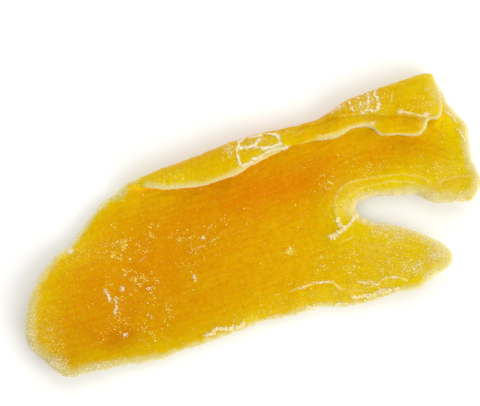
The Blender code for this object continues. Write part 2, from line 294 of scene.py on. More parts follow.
# Where loose crystals lie thicker on the face: (x, y, half length, half width, share)
CRYSTAL_PATCHES = {
    "left middle": (-33.0, -5.0, 9.0, 10.0, 0.55),
    "left of the fold": (-30.0, 8.0, 9.0, 4.5, 0.9),
    "middle": (-17.0, 4.0, 7.0, 5.0, 0.6),
    "above the fork": (28.0, 7.0, 9.0, 3.0, 0.7),
    "lower prong": (33.0, -14.0, 9.0, 6.0, 1.0),
    "lower edge": (16.0, -20.0, 12.0, 4.0, 0.5),
    "right end": (55.0, 2.0, 7.0, 9.0, 0.5),
    "curl of crumbs": (15.6, -12.2, 1.8, 1.6, 2.0),
    "crumbs above it": (8.8, -7.0, 1.8, 1.0, 1.6),
    "white dot": (-11.2, 3.4, 0.8, 0.8, 2.0),
    "beside the streaks": (-30.5, -3.0, 2.4, 3.6, 1.0),
}
CRYSTALS_EVERYWHERE = 0.03
CLUSTER_WAVELENGTHS = (1.1, 5.0)
CLUSTERS_FILL = (-0.05, 0.45)
LEFT_BETWEEN_CLUSTERS = 0.04

# How the rim is found: its faces are upright, the slice is thin just inside them, and it
# is far through the slice from them
RIM_LEANS_UP_TO = 0.75
RIM_PROBE = 0.4 * MM
RIM_THINNER_THAN = 3.4 * MM
RIM_FAR_THROUGH = 4.6 * MM
# The bend of the fold, whose upright faces are no rim, lies past these
FOLD_FROM_X = -22 * MM
FOLD_FROM_Y = 10 * MM
# How far the middle of the rim is from the edge of its upright faces, in mm
RIM_MIDDLE = 0.33

# How the finer copy of the slice is made
MERGE_WITHIN = 0.001 * MM
COARSE_FACE = 0.31 * MM * MM
FINE_CUTS = 2
EVEN_OUT_ROUNDS = 3
EVEN_OUT_SHARE = 0.4
OFF_SURFACE = 0.03 * MM
FLAP_LIES_ABOVE = 5.7 * MM
BELOW_ALL = -5 * MM
FARTHEST = 99.0

# Relief of the fruit: (height, wavelength) in mm
BUMPS = [(0.18, 3.4), (0.11, 1.5), (0.055, 0.75)]
FIBRE_RELIEF = 0.07
FIBRE_LENGTH = 7.0
FIBRE_WIDTH = 0.75
RIM_NIBBLES = [(0.22, 1.7), (0.12, 0.8)]
NIBBLES_WITHIN = 1.3
FORK_NIBBLES_TIMES = 2.0
FORK_NIBBLES_WIDTH = 2.0
SKIN_LINE_WIDTH = 0.26
TORN_STRENGTH = 1.0
FAINT_STRENGTH = 0.55
RING_LINE_WIDTH = 0.42
RING_STRENGTH = 0.46
WEAR_WAVELENGTH = 2.0
UNWORN = (-0.3, 0.3)
LEFT_WHERE_WORN = 0.35
RING_LEFT_WHERE_WORN = 0.6
SKIN_HEIGHT = 0.16
LOBE_STEP_WIDTH = 0.5
LOBE_STEP_HEIGHT = 0.5
FROST_HEIGHT = 0.10
FROST_WAVELENGTH = 0.7
FROST_LEVEL = 0.6
FROST_CRUMBLES = 0.8
DENT = (-44.9, 10.8)
DENT_RADIUS = 1.6
DENT_DEPTH = 0.4

# Lines of dried sugar: (lines, width, strength)
THREADS = [(NET_LINES, 0.26, 1.0), (LOBE_LINES, 0.26, 0.8), (STREAK_LINES, 0.34, 0.50),
           (TORN_LINES, 0.22, 0.42)]
CRUSTS = [(FORK_CRUST_LINES, 0.56, 1.0), (EDGE_CRUST_LINES, 0.52, 0.9)]

# Offsets that make each noise on the fruit differ from the others
NIBBLES_APART = 5.0
RIM_APART = 11.0
CLUSTERS_APART = 23.0
CRUMBLES_APART = 31.0
WANDER_APART = (41.0, 47.0)
GAPS_APART = 53.0
WEB_APART = 61.0
WEAR_APART = 67.0

# Noises of the finishes: (wavelength, detail, roughness)
FIBRE_NOISE = (0.9 * MM, 2.0, 0.50)
CLOUD_NOISE = (11 * MM, 2.0, 0.50)
MOTTLE_NOISE = (1.1 * MM, 5.0, 0.68)
PATCHY_NOISE = (0.9 * MM, 4.0, 0.70)
FINE_NOISE = (0.45 * MM, 3.0, 0.75)
CRUMB_NOISE = (0.42 * MM, 4.0, 0.75)
GRAIN_NOISE = (0.30 * MM, 3.0, 0.70)
SUGAR_NOISE = (1.3 * MM, 2.0, 0.50)
SUGAR_GRAIN_NOISE = (0.2 * MM, 2.0, 0.50)
FLOOR_NOISE = (60 * MM, 2.0, 0.50)

# How much of each noise shows in the flesh, and where its middle colours stand on depth
FIBRE_STRETCH = (0.09, 1.0, 1.0)
FIBRES_SHOW = 0.48
CLOUD_SHOWS = 0.20
MOTTLE_SHOWS = 0.75
FLESH_STOPS = (0.38, 0.72)
# What covers the flesh: where each cover begins and is full, and the most that it hides
COVERS = {
    "pale": (0.575, 1.525, 0.92),
    "edge": (0.85, 1.50, 0.80),
    "bloom": (0.60, 0.80, 0.72),
    "skin": (0.12, 0.70, 0.80),
    "frost": (0.86, 1.24, 1.0),
}
PATCHY_SHARE = 0.60
FINE_SHARE = 0.35
BLOOM_SHOWS = 0.24
SKIN_HOLDS = 0.3
# Specks of sugar on the flesh: how far apart, their radius, and the share that is there
SPECKS = (0.8 * MM, 0.17 * MM, 0.30)
SPECK_CORE = 0.4
SPECKS_SHOW = 0.55
SPECKS_STAND_OUT = 0.8
GRAIN_ROUGHENS = 0.14
GRAIN_BEGINS_BELOW = 0.05
FROST_ROUGHNESS = 0.75

# Dried sugar: where its noise turns it yellower, and its roughness: (by grain, least)
SUGAR_VARIES = (0.3, 0.7)
SUGAR_ROUGHNESS = (0.3, 0.3)
CLEAR_YELLOWS = (1.0, 0.96, 0.60)
CLEAR_SHINE = 0.15
FROST_YELLOWS = (1.0, 0.95, 0.74)
CRUST_YELLOWS = (0.97, 0.90, 0.66)
WHITE_SHINE = 0.3

# Forms of the sugar: how many there are of each kind, and how they are made
CRYSTAL_KINDS = 12
CRYSTAL_POINTS = 9
FROST_POINTS = 7
LUMP_KINDS = 8
LUMP_KNOBS = 0.45
LUMP_KNOB_FREQUENCY = 3.2
LUMP_NOISE_SPAN = 50
# How they are strewn. Their centres lie this far above the fruit, for a size of 1
SIZES_SPREAD = 0.42
LARGEST = 2.6
SIDES_DIFFER = (0.8, 1.2)
LEAN = 0.3
CENTRE_ABOVE = (-0.05, 0.2)
FROST_FROM = 0.12
FROST_GATHERS = 1.5
FROST_ON_RIM = 0.04
FROST_IN_BLOOM = 0.02
CRUST_FROM = 0.15

# The stage
VIEW_CENTRE = (0.646 * MM, 8.969 * MM, 3.0 * MM)
CLIP_START = 10 * MM
FLOOR_HALF_WIDTH = 1.5
FLOOR_BELOW = 0.05 * MM
FLOOR_CLOUDS = 0.99
KEY_FROM = (0.30, 0.55, 0.60)
KEY_SIZE = 0.8
FILL_FROM = (0.38, -0.50, 0.52)
FILL_SIZE = 0.7


def in_linear_light(red, green, blue):
    """A colour given in steps of 0 to 255, as the linear values that a shader takes."""
    linear = []
    for step in (red, green, blue):
        share = step / 255
        low = share / 12.92
        linear.append(low if share <= 0.04045 else ((share + 0.055) / 1.055) ** 2.4)
    return tuple(linear)


class MangoFruitSettings(bpy.types.PropertyGroup):
    deep: bpy.props.FloatVectorProperty(
        name="Deep flesh", description="Colour of the flesh where it is deepest",
        subtype="COLOR", default=in_linear_light(208, 126, 0), min=0, max=1)
    ripe: bpy.props.FloatVectorProperty(
        name="Ripe flesh", description="Colour of the flesh of the thick middle",
        subtype="COLOR", default=in_linear_light(207, 144, 0), min=0, max=1)
    golden: bpy.props.FloatVectorProperty(
        name="Golden flesh", description="Colour of the flesh where it begins to clear",
        subtype="COLOR", default=in_linear_light(209, 167, 0), min=0, max=1)
    lemon: bpy.props.FloatVectorProperty(
        name="Lemon flesh", description="Colour of the flesh where it is thin and clear",
        subtype="COLOR", default=in_linear_light(214, 190, 1), min=0, max=1)
    rim: bpy.props.FloatVectorProperty(
        name="Rim", description="Colour of the thin, dry rim",
        subtype="COLOR", default=in_linear_light(212, 199, 130), min=0, max=1)
    bloom: bpy.props.FloatVectorProperty(
        name="Bloom", description="Colour of flesh under a thin bloom of fine sugar",
        subtype="COLOR", default=in_linear_light(224, 195, 100), min=0, max=1)
    skin_sugar: bpy.props.FloatVectorProperty(
        name="Sugar skin", description="Colour of the sugar that has dried onto the flesh",
        subtype="COLOR", default=in_linear_light(232, 218, 168), min=0, max=1)
    # Strength of the painted shade that darkens the flesh towards black in its patches
    painted_shade_strength: bpy.props.FloatProperty(
        name="Dullness", description="How much duller the flesh is in its dull patches",
        default=0.11, min=0, max=1, subtype="FACTOR")
    roughness: bpy.props.FloatProperty(
        name="Roughness", description="Roughness of the bare, moist flesh",
        default=0.40, min=0, max=1, subtype="FACTOR")
    relief: bpy.props.FloatProperty(
        name="Relief", description="How strongly bumps, fibres and torn skin stand out",
        default=1.0, min=0, max=3, subtype="FACTOR")


class MangoSugarSettings(bpy.types.PropertyGroup):
    clear: bpy.props.FloatVectorProperty(
        name="Clear sugar", description="Colour of the loose, clear crystals",
        subtype="COLOR", default=in_linear_light(248, 220, 104), min=0, max=1)
    white: bpy.props.FloatVectorProperty(
        name="White sugar", description="Colour of thick frost and of the threads",
        subtype="COLOR", default=in_linear_light(252, 240, 206), min=0, max=1)
    cream: bpy.props.FloatVectorProperty(
        name="Cream sugar", description="Colour of the thick crust",
        subtype="COLOR", default=in_linear_light(246, 228, 168), min=0, max=1)
    crystals: bpy.props.IntProperty(
        name="Crystals", description="How many loose crystals lie on the face",
        default=3600, min=0, max=14000)
    crystal_size: bpy.props.FloatProperty(
        name="Crystal size", description="Size of a middling loose crystal",
        default=0.23 * MM, min=0.05 * MM, max=1 * MM, unit="LENGTH", precision=5)
    frost_grains: bpy.props.IntProperty(
        name="Frost grains", description="How many grains the frost has",
        default=16000, min=0, max=19000)
    frost_size: bpy.props.FloatProperty(
        name="Frost grain size", description="Size of a middling grain of frost",
        default=0.18 * MM, min=0.05 * MM, max=1 * MM, unit="LENGTH", precision=5)
    crust_lumps: bpy.props.IntProperty(
        name="Crust lumps", description="How many lumps the thick crust has",
        default=700, min=0, max=2400)
    crust_size: bpy.props.FloatProperty(
        name="Crust lump size", description="Size of a middling lump of crust",
        default=0.28 * MM, min=0.1 * MM, max=2 * MM, unit="LENGTH", precision=5)
    thread_lumps: bpy.props.IntProperty(
        name="Thread lumps", description="How many lumps all the threads have",
        default=2300, min=0, max=2400)
    thread_size: bpy.props.FloatProperty(
        name="Thread lump size", description="Size of a middling lump of a thread",
        default=0.17 * MM, min=0.05 * MM, max=1 * MM, unit="LENGTH", precision=5)
    seed: bpy.props.IntProperty(
        name="Seed", description="Another seed scatters the sugar another way",
        default=7, min=0)


class MangoStageSettings(bpy.types.PropertyGroup):
    floor: bpy.props.FloatVectorProperty(
        name="Floor", description="Colour of the floor",
        subtype="COLOR", default=(0.93, 0.93, 0.92), min=0, max=1)
    surround: bpy.props.FloatProperty(
        name="Surround", description="Brightness of the even light from all around",
        default=0.74, min=0, max=4)
    key_power: bpy.props.FloatProperty(
        name="Key light", description="Power of the soft light on the fold's side",
        default=3.0, min=0, max=50, unit="POWER")
    fill_power: bpy.props.FloatProperty(
        name="Fill light", description="Power of the soft light on the other side",
        default=3.8, min=0, max=50, unit="POWER")
    view_width: bpy.props.FloatProperty(
        name="View width", description="Width of what the camera sees at the slice",
        default=124.8 * MM, min=10 * MM, max=1000 * MM, unit="LENGTH")
    view_height: bpy.props.FloatProperty(
        name="Camera height", description="How high the camera stands above the slice",
        default=0.7, min=0.1, max=5, unit="LENGTH")
    view_turn: bpy.props.FloatProperty(
        name="View turn", description="How far the view is turned about the upright",
        default=math.radians(-18), min=-math.pi, max=math.pi, unit="ROTATION")


# Fields: numbers for every corner of a mesh, worked out with arrays

def eased(values, start, end):
    """0 at start to 1 at end, with level ends."""
    share = np.clip((values - start) / (end - start), 0, 1)
    return share * share * (3 - 2 * share)


def between(least, share):
    """least where the share is 0, 1 where it is 1."""
    return least + (1 - least) * share


def distance_to_line(plan, line):
    """How far each place in plan is from an open line of points."""
    nearest = np.full(len(plan), FARTHEST)
    for start, end in zip(line, line[1:]):
        start = np.array(start)
        along = np.array(end) - start
        share = np.clip((plan - start) @ along / (along @ along), 0, 1)
        away = np.linalg.norm(plan - start - share[:, None] * along, axis=1)
        nearest = np.minimum(nearest, away)
    return nearest


def near_lines(plan, lines, width):
    """1 on any of the lines, and next to nothing two widths away."""
    nearest = np.full(len(plan), FARTHEST)
    for line in lines:
        nearest = np.minimum(nearest, distance_to_line(plan, line))
    return np.exp(-(nearest / width) ** 2)


def near_spot(plan, x, y, half_length, half_width):
    """1 in the middle of a soft oval spot."""
    away = ((plan[:, 0] - x) / half_length) ** 2 + ((plan[:, 1] - y) / half_width) ** 2
    return np.exp(-away)


def bumps(places, wavelength, apart=0.0):
    """Smooth noise from about -1 to 1. Another value of apart gives another noise."""
    scaled = places / wavelength + apart
    return np.array([noise.noise(place) for place in scaled.tolist()])


def coordinates(mesh):
    """Where each corner of a mesh is, in metres."""
    co = np.empty(len(mesh.vertices) * 3, np.float32)
    mesh.vertices.foreach_get("co", co)
    return co.reshape(-1, 3).astype(float)


def corner_normals(mesh):
    """Which way each corner of a mesh faces."""
    normals = np.empty(len(mesh.vertices) * 3, np.float32)
    mesh.vertex_normals.foreach_get("vector", normals)
    return normals.reshape(-1, 3).astype(float)


# The fruit's mesh

def merged_copy(node):
    """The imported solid's loose triangles, joined into one closed mesh."""
    solid = bmesh.new()
    solid.from_mesh(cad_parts[node].data)
    bmesh.ops.remove_doubles(solid, verts=solid.verts[:], dist=MERGE_WITHIN)
    return solid


def rim_faces(solid):
    """Corners of each of the rim's upright faces: it is far through the slice from
    them, and the slice is thin just inside them."""
    tree = BVHTree.FromBMesh(solid)
    found = []
    for face in solid.faces:
        middle = face.calc_center_median()
        by_fold = middle.x > FOLD_FROM_X and middle.y > FOLD_FROM_Y
        on_bend = by_fold and face.normal.y > BEND_FACES_BACK[1]
        if abs(face.normal.z) > RIM_LEANS_UP_TO or on_bend:
            continue
        through = tree.ray_cast(middle - face.normal * OFF_SURFACE, -face.normal)[3]
        inside = middle - face.normal * RIM_PROBE
        above = tree.ray_cast(inside, UP)[3]
        below = tree.ray_cast(inside, -UP)[3]
        if through and through > RIM_FAR_THROUGH and above and below:
            if above + below < RIM_THINNER_THAN:
                found.append([corner.co.copy() for corner in face.verts])
    return found


def rounded_once(solid):
    """The solid as a mesh, with every triangle rounded and cut in three."""
    mesh = bpy.data.meshes.new("rounded")
    solid.to_mesh(mesh)
    holder = bpy.data.objects.new("rounded", mesh)
    bpy.context.scene.collection.objects.link(holder)
    finer = holder.modifiers.new("finer", "SUBSURF")
    finer.levels = finer.render_levels = 1
    depsgraph = bpy.context.evaluated_depsgraph_get()
    rounded = bpy.data.meshes.new_from_object(holder.evaluated_get(depsgraph))
    bpy.data.objects.remove(holder)
    bpy.data.meshes.remove(mesh)
    return rounded


def cut_finer_where_seen(mesh):
    """The mesh as a bmesh, evened out after its larger faces are cut into ninths: those
    of the rim, and those that lie open to the sky."""
    fruit = bmesh.new()
    fruit.from_mesh(mesh)
    tree = BVHTree.FromBMesh(fruit)
    edges = set()
    for face in fruit.faces:
        start = face.calc_center_median() + face.normal * OFF_SURFACE
        upright = abs(face.normal.z) < RIM_LEANS_UP_TO
        if face.calc_area() > COARSE_FACE:
            if upright or tree.ray_cast(start, UP)[0] is None:
                edges.update(face.edges)
    bmesh.ops.subdivide_edges(fruit, edges=list(edges), cuts=FINE_CUTS, use_grid_fill=True)
    for _ in range(EVEN_OUT_ROUNDS):
        bmesh.ops.smooth_vert(fruit, verts=fruit.verts[:], factor=EVEN_OUT_SHARE,
                              use_axis_x=True, use_axis_y=True, use_axis_z=True)
    odd = [face for face in fruit.faces if len(face.verts) > 4]
    bmesh.ops.triangulate(fruit, faces=odd)
    return fruit


def height_in_slice(tree, place):
    """How far a place is above the underside of the slice below it."""
    below = tree.ray_cast(Vector((place[0], place[1], BELOW_ALL)), UP)[0]
    return place[2] - below.z if below else 0.0


def trees_of_rim(tree, rim):
    """A tree of the rim's faces for the base of the slice, and one for its flap."""
    layers = [[], []]
    for corners in rim:
        middle = sum(corners, Vector()) / len(corners)
        layers[height_in_slice(tree, middle) > FLAP_LIES_ABOVE].append(corners)
    trees = []
    for layer in layers:
        triangles = [(start, start + 1, start + 2) for start in range(0, 3 * len(layer), 3)]
        trees.append(BVHTree.FromPolygons([co for corners in layer for co in corners],
                                          triangles))
    return trees


def plan_distance(co, others):
    """How far each place is in plan from the nearest of some others."""
    found = kdtree.KDTree(len(others))
    for index, (x, y, _) in enumerate(others.tolist()):
        found.insert((x, y, 0), index)
    found.balance()
    return np.array([found.find((x, y, 0))[2] for x, y, _ in co.tolist()])


def read_places(mesh, rim):
    """What is known of each corner of the fruit's mesh, in mm."""
    co = coordinates(mesh)
    normals = corner_normals(mesh)
    tree = BVHTree.FromPolygons([v.co for v in mesh.vertices],
                                [p.vertices for p in mesh.polygons])
    rim_trees = trees_of_rim(tree, rim)
    flap, to_rim, to_sky = np.zeros((3, len(co)))
    for i, (place, normal) in enumerate(zip(co.tolist(), normals.tolist())):
        place = Vector(place)
        height = height_in_slice(tree, place)
        flap[i] = height > FLAP_LIES_ABOVE
        to_rim[i] = RIM_MIDDLE + rim_trees[int(flap[i])].find_nearest(place)[3] / MM
        start = place + Vector(normal) * OFF_SURFACE
        to_sky[i] = tree.ray_cast(start, UP)[0] is None
    to_flap = plan_distance(co, co[flap > 0]) / MM
    takes_sugar = to_sky * (1 - eased(normals[:, 1], *BEND_TOO_STEEP))
    return SimpleNamespace(co=co / MM, plan=co[:, :2] / MM, normals=normals,
                           flap=flap, to_rim=to_rim, to_flap=to_flap, to_sky=to_sky,
                           takes_sugar=takes_sugar)


def fibre_coordinates(plan):
    """Along and across the fibres, which bend round the fork, in mm."""
    upper = distance_to_line(plan, [FIBRES_COME_FROM] + FORK_UPPER_EDGE)
    lower = distance_to_line(plan, [FIBRES_COME_FROM] + FORK_LOWER_EDGE)
    left_of_fork = plan[:, 0] < FORK_ROOT[0]
    above = np.where(left_of_fork, plan[:, 1] > FORK_ROOT[1], upper < lower)
    across = np.where(above, upper, -lower)
    return np.stack([plan[:, 0], across, np.zeros(len(plan))], axis=1)


def wandering(places, by):
    """Where each place is in plan, pushed about so that lines laid there wander."""
    aside = [bumps(places.co, WANDER_WAVELENGTH, apart) for apart in WANDER_APART]
    return places.plan + by * np.stack(aside, axis=1)


def line_strength(places, line_sets):
    """How thickly sugar has dried along some lines, 0 to 1."""
    plan = wandering(places, WANDER)
    strength = np.zeros(len(places.plan))
    for lines, width, most in line_sets:
        strength = np.maximum(strength, most * near_lines(plan, lines, width))
    unbroken = eased(bumps(places.co, GAPS_WAVELENGTH, GAPS_APART), *GAPS_CLOSE)
    return strength * between(LEFT_IN_GAPS, unbroken) * places.takes_sugar


def web_strength(places):
    """A fine irregular web of sugar between the threads of the net."""
    web = eased(np.abs(bumps(places.co, WEB_WAVELENGTH, WEB_APART)), WEB_STRAND, 0.0)
    return web * patch_strength(places, WEB_PATCHES)


def skin_strength(places):
    """Where torn skin and the rings of the fork show as pale lines, 0 to 1."""
    plan = wandering(places, SKIN_WANDER)
    torn = TORN_STRENGTH * near_lines(plan, TORN_LINES, SKIN_LINE_WIDTH)
    faint = FAINT_STRENGTH * near_lines(plan, FAINT_LINES, SKIN_LINE_WIDTH)
    ring = RING_STRENGTH * near_lines(plan, RING_LINES, RING_LINE_WIDTH)
    unworn = eased(bumps(places.co, WEAR_WAVELENGTH, WEAR_APART), *UNWORN)
    left = between(LEFT_WHERE_WORN, unworn)
    lines = np.maximum(np.maximum(torn, faint) * left,
                       ring * between(RING_LEFT_WHERE_WORN, left))
    return lines * places.takes_sugar


def patch_strength(places, patches):
    """The strongest of some soft patches at each place."""
    strength = np.zeros(len(places.plan))
    for x, y, half_length, half_width, most in patches.values():
        patch = most * near_spot(places.plan, x, y, half_length, half_width)
        strength = np.maximum(strength, patch)
    return strength * places.takes_sugar


def rim_paleness(places):
    """1 on the rim, falling to nothing within its width."""
    width = np.full(len(places.plan), RIM_WIDTH)
    for x, y, radius, by in RIM_WIDER.values():
        width += by * near_spot(places.plan, x, y, radius, radius)
    width *= 1 + RIM_VARIES_BY * bumps(places.co, RIM_VARIES_WAVELENGTH, RIM_APART)
    rim = np.exp(-(places.to_rim / width) ** RIM_FALLS_OFF)
    return np.maximum(rim, patch_strength(places, PALE_PATCHES))


def below_lobe_step(places):
    """1 on the strip of the flap below the step of its lobe, else 0."""
    step_y = np.interp(places.plan[:, 0], *zip(*LOBE_STEP))
    below = eased(places.plan[:, 1] - step_y, 0.0, -LOBE_STEP_WIDTH)
    starts = eased(places.plan[:, 0], LOBE_STEP[1][0], LOBE_STEP[2][0])
    return below * starts * places.flap * places.to_sky


def flesh_depth(places):
    """How deep the orange of the flesh is, 0 to 1."""
    x = places.plan[:, 0]
    depth = FLESH_DEPTH - CLEARS_BY * eased(x, CLEARS_FROM_X, CLEARS_TO_X)
    flap_or_bend = np.maximum(places.flap, eased(places.normals[:, 1], *BEND_FACES_BACK))
    depth += flap_or_bend * (FLAP_DEPTH - depth)
    depth += DEEPER_BELOW_STEP * below_lobe_step(places)
    for x, y, half_length, half_width, by in FLESH_SPOTS.values():
        depth += by * near_spot(places.plan, x, y, half_length, half_width)
    # Painted shade: a deeper orange inside the fold
    in_fold = (1 - places.to_sky) * (places.flap != (places.normals[:, 2] > 0))
    depth += PAINTED_SHADE_IN_FOLD * in_fold
    return depth * (1 - np.exp(-places.to_rim / RIM_CLEARS_WITHIN))


def painted_light_below_flap(places):
    """Painted light: how much the flesh below the flap is brightened, 0 to 1, in place of
    the light that shines through the flap: most beside the rim of the flap, and less and
    less farther off."""
    below = (1 - places.flap) * (places.normals[:, 2] > 0)
    below *= 1 - eased(places.normals[:, 1], *BEND_FACES_BACK)
    below *= np.where(places.to_sky, 1.0, LIGHT_IN_FOLD)
    return below * np.exp(-places.to_flap / LIGHT_REACHES)


def crystal_density(places):
    """How thickly loose crystals lie: in small clusters, and those in larger ones."""
    density = CRYSTALS_EVERYWHERE + patch_strength(places, CRYSTAL_PATCHES)
    for wavelength in CLUSTER_WAVELENGTHS:
        clusters = eased(bumps(places.co, wavelength, CLUSTERS_APART), *CLUSTERS_FILL)
        density *= LEFT_BETWEEN_CLUSTERS + clusters
    return density * places.takes_sugar


def relief_of_fruit(places, fibres, frost, skin, strength):
    """How far each corner moves out along its normal, in mm."""
    height = sum(most * bumps(places.co, wavelength) for most, wavelength in BUMPS)
    stretched = fibres / np.array([FIBRE_LENGTH, FIBRE_WIDTH, 1.0])
    height += FIBRE_RELIEF * bumps(stretched, 1.0) * places.to_sky
    nibbles = sum(most * bumps(places.co, wavelength, NIBBLES_APART)
                  for most, wavelength in RIM_NIBBLES)
    by_fork = near_lines(places.plan, [FORK_UPPER_EDGE[:4]], FORK_NIBBLES_WIDTH)
    nibbles *= 1 + (FORK_NIBBLES_TIMES - 1) * by_fork
    height += nibbles * np.exp(-(places.to_rim / NIBBLES_WITHIN) ** 2)
    height += SKIN_HEIGHT * skin
    height -= LOBE_STEP_HEIGHT * below_lobe_step(places)
    crumbles = FROST_CRUMBLES * bumps(places.co, FROST_WAVELENGTH, CRUMBLES_APART)
    height += FROST_HEIGHT * frost * (FROST_LEVEL + crumbles)
    dent = near_spot(places.plan, *DENT, DENT_RADIUS, DENT_RADIUS)
    height -= DENT_DEPTH * dent * places.to_sky
    return height * strength


def pressed_in(places):
    """How far each corner moves in plan where the rim of the flap has a notch, in mm."""
    moves = np.zeros((len(places.plan), 3))
    for x, y, radius, along_x, along_y in FLAP_NOTCHES.values():
        share = near_spot(places.plan, x, y, radius, radius) * places.flap
        moves[:, :2] += share[:, None] * (along_x, along_y)
    return moves


def write_attribute(mesh, name, values):
    """Gives the corners of a mesh numbers or vectors that its finish reads."""
    kind = "FLOAT_VECTOR" if values.ndim == 2 else "FLOAT"
    field = "vector" if values.ndim == 2 else "value"
    attribute = mesh.attributes.new(name, kind, "POINT")
    attribute.data.foreach_set(field, values.astype(np.float32).ravel())


def read_attribute(mesh, name):
    """The numbers that the corners of a mesh carry."""
    values = np.empty(len(mesh.vertices), np.float32)
    mesh.attributes[name].data.foreach_get("value", values)
    return values.astype(float)


def fruit_mesh(settings):
    """The finer, worn and sugared form of the slice, with what its finish reads."""
    solid = merged_copy(NODE)
    rim = rim_faces(solid)
    rounded = rounded_once(solid)
    solid.free()
    fruit = cut_finer_where_seen(rounded)
    bpy.data.meshes.remove(rounded)
    mesh = bpy.data.meshes.new(FRUIT)
    fruit.to_mesh(mesh)
    fruit.free()
    places = read_places(mesh, rim)
    fibres = fibre_coordinates(places.plan)
    threads = line_strength(places, THREADS)
    crust = line_strength(places, CRUSTS)
    patches = patch_strength(places, FROST_PATCHES)
    web = WEB_FROSTS * web_strength(places)
    frost = np.max([threads, crust, patches, web], axis=0)
    skin = skin_strength(places)
    height = relief_of_fruit(places, fibres, frost, skin, settings.relief)
    moved = (places.co + places.normals * height[:, None] + pressed_in(places)) * MM
    moved[:, 2] = np.maximum(moved[:, 2], 0.0)
    mesh.vertices.foreach_set("co", moved.astype(np.float32).ravel())
    mesh.shade_smooth()
    mesh.update()
    carried = {
        "depth": np.clip(flesh_depth(places), 0, 1),
        # painted shade: where the flesh is darkened towards black
        "painted_shade": patch_strength(places, PAINTED_SHADE_PATCHES),
        # painted light: how much the flesh below the flap is brightened
        "light": painted_light_below_flap(places),
        "pale": rim_paleness(places),
        "edge": np.exp(-(places.to_rim / EDGE_WIDTH) ** 2),
        "bloom": np.clip(patch_strength(places, BLOOM_PATCHES) + BLOOM_EVERYWHERE, 0, 1),
        "skin": skin,
        "frost": frost,
        "threads": threads,
        "crust": crust,
        "crystals": crystal_density(places),
        "fibre": fibres * MM,
    }
    for name, values in carried.items():
        write_attribute(mesh, name, values)
    return mesh


# Materials

class Finish:
    """A material that is built up from nodes. What its nodes take can be a plain value,
    a colour or a link."""

    def __init__(self, name):
        self.material = bpy.data.materials.new(name)
        self.material.use_nodes = True
        self.tree = self.material.node_tree
        self.surface = self.tree.nodes["Principled BSDF"]
        self.place = self.node("ShaderNodeTexCoord").outputs["Object"]

    def give(self, inputs, values):
        """Gives a node's inputs their values, by name or number."""
        for name, value in values.items():
            if isinstance(value, bpy.types.NodeSocket):
                self.tree.links.new(value, inputs[name])
            elif inputs[name].type == "RGBA":
                inputs[name].default_value = (*value, 1.0)
            else:
                inputs[name].default_value = value

    def node(self, kind, values=None, **settings):
        """A new node, with its settings made and its inputs given."""
        made = self.tree.nodes.new(kind)
        for name, value in settings.items():
            setattr(made, name, value)
        self.give(made.inputs, values or {})
        return made

    def worked_out(self, operation, *values):
        """The result of one sum on values or links."""
        return self.node("ShaderNodeMath", dict(enumerate(values)),
                         operation=operation).outputs[0]

    def attribute(self, name, output="Fac"):
        """What the corners of the mesh carry under a name."""
        return self.node("ShaderNodeAttribute", attribute_name=name).outputs[output]

    def noise(self, vector, wavelength, detail, roughness):
        """Noise from 0 to 1 on coordinates in metres."""
        return self.node("ShaderNodeTexNoise",
                         {"Vector": vector, "Scale": 1 / wavelength, "Detail": detail,
                          "Roughness": roughness}).outputs[0]

    def eased(self, value, start, end):
        """0 at start to 1 at end, with level ends."""
        return self.node("ShaderNodeMapRange", {0: value, 1: start, 2: end},
                         interpolation_type="SMOOTHSTEP").outputs[0]

    def mixed(self, share, first, second):
        """The colour first where share is 0, second where it is 1."""
        return self.node("ShaderNodeMix", {0: share, 6: first, 7: second},
                         data_type="RGBA").outputs[2]

    def specks(self, spacing, radius, share):
        """Small dots, on only a share of the cells that they could stand in."""
        cells = self.node("ShaderNodeTexVoronoi",
                          {"Vector": self.place, "Scale": 1 / spacing})
        near = self.eased(cells.outputs["Distance"], radius / spacing,
                          SPECK_CORE * radius / spacing)
        chosen = self.worked_out("LESS_THAN", cells.outputs["Color"], share)
        return self.worked_out("MULTIPLY", near, chosen)


def flesh_colour(finish, settings):
    """Orange to lemon by depth, mottled, varied along the fibres, and brightened below the
    flap by painted light.
    """
    fibre = finish.node("ShaderNodeVectorMath",
                        {0: finish.attribute("fibre", "Vector"), 1: FIBRE_STRETCH},
                        operation="MULTIPLY").outputs[0]
    depth = finish.attribute("depth")
    for vector, kind, strength in ((fibre, FIBRE_NOISE, FIBRES_SHOW),
                                   (finish.place, CLOUD_NOISE, CLOUD_SHOWS),
                                   (finish.place, MOTTLE_NOISE, MOTTLE_SHOWS)):
        centred = finish.worked_out("SUBTRACT", finish.noise(vector, *kind), 0.5)
        depth = finish.worked_out("MULTIPLY_ADD", centred, strength, depth)
    ramp = finish.node("ShaderNodeValToRGB", {"Fac": depth})
    stops = ramp.color_ramp.elements
    for position in FLESH_STOPS:
        stops.new(position)
    colours = (settings.lemon, settings.golden, settings.ripe, settings.deep)
    for stop, colour in zip(stops, colours):
        stop.color = (*colour, 1.0)
    # Painted light: the flesh colour is scaled up below the flap
    light = finish.worked_out("MULTIPLY_ADD", finish.attribute("light"), LIGHT_ADDS, 1.0)
    return finish.node("ShaderNodeVectorMath",
                       {0: ramp.outputs["Color"], "Scale": light},
                       operation="SCALE").outputs[0]


